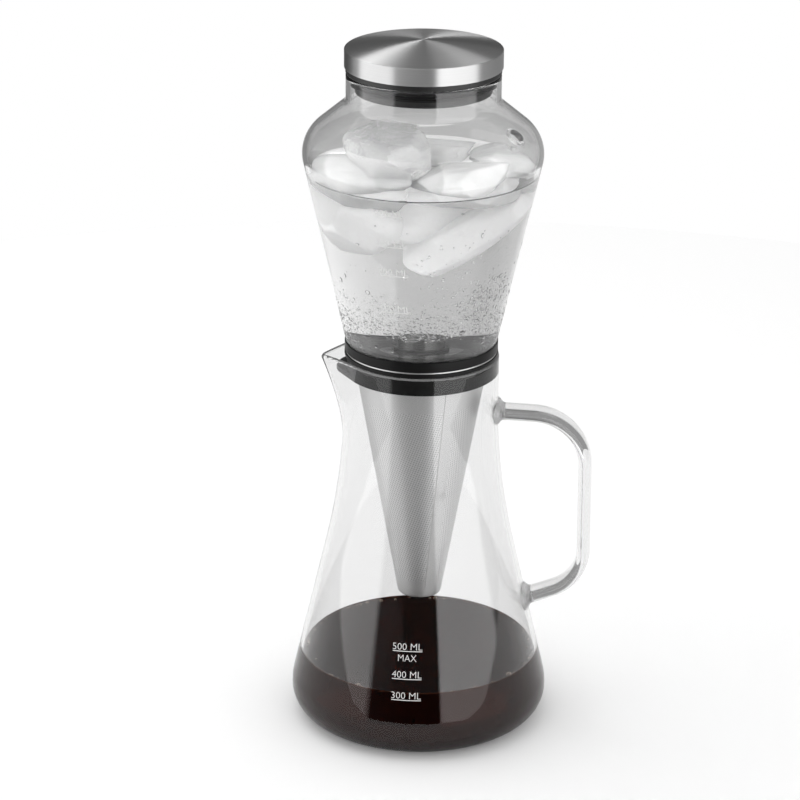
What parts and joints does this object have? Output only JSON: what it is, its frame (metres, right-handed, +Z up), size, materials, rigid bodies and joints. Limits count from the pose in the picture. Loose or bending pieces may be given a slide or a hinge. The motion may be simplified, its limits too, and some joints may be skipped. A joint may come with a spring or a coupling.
{
  "type": "cold brew coffee maker",
  "caption": "Cold brew dripper: lidded glass reservoir with a drip valve, conical steel filter and glass carafe with spout and loop handle.",
  "frame": {"origin": "centre of the carafe's flat underside, on the surface that it stands on and on the axis of the stack", "axes": "+Z up along the axis of the stack, +X towards the handle, -X towards the spout"},
  "size_m": [0.1429, 0.1226, 0.3335],
  "materials": {
    "glass": "clear blown borosilicate glass, fire polished",
    "filter_steel": "perforated stainless sheet, satin",
    "valve_steel": "turned stainless steel",
    "cap_steel": "spun stainless sheet, brushed in circles",
    "silicone": "black silicone, satin",
    "black_plastic": "black plastic, satin"
  },
  "bodies": {
    "carafe": {"carafe_glass": "glass", "handle": "glass", "weld_pad_upper": "glass", "weld_pad_lower": "glass"},
    "filter": {"filter_cone": "filter_steel", "filter_cup": "filter_steel", "filter_rim": "filter_steel", "filter_gasket": "silicone"},
    "reservoir": {"reservoir_glass": "glass", "reservoir_collar": "silicone", "valve_washer_upper": "silicone", "valve_washer_lower": "silicone", "valve_body": "black_plastic", "valve_nut": "black_plastic"},
    "drip_tap": {"tap_spindle": "valve_steel", "tap_oring": "silicone", "tap_knob": "black_plastic", "drip_tip": "valve_steel"},
    "lid": {"lid_cap": "cap_steel", "lid_plug": "black_plastic", "lid_seal": "silicone"}
  },
  "joints": [
    {"name": "filter_lift", "type": "slide", "parent": "carafe", "child": "filter", "axis": [0, 0, 1], "range_m": [0, 0.13]},
    {"name": "reservoir_lift", "type": "slide", "parent": "filter", "child": "reservoir", "axis": [0, 0, 1], "range_m": [0, 0.03]},
    {"name": "drip_tap_turn", "type": "hinge", "parent": "reservoir", "child": "drip_tap", "pos_m": [0, 0, 0.176], "axis": [0, 0, 1], "range_deg": [0, 270]},
    {"name": "lid_lift", "type": "slide", "parent": "reservoir", "child": "lid", "axis": [0, 0, 1], "range_m": [0, 0.03]}
  ]
}
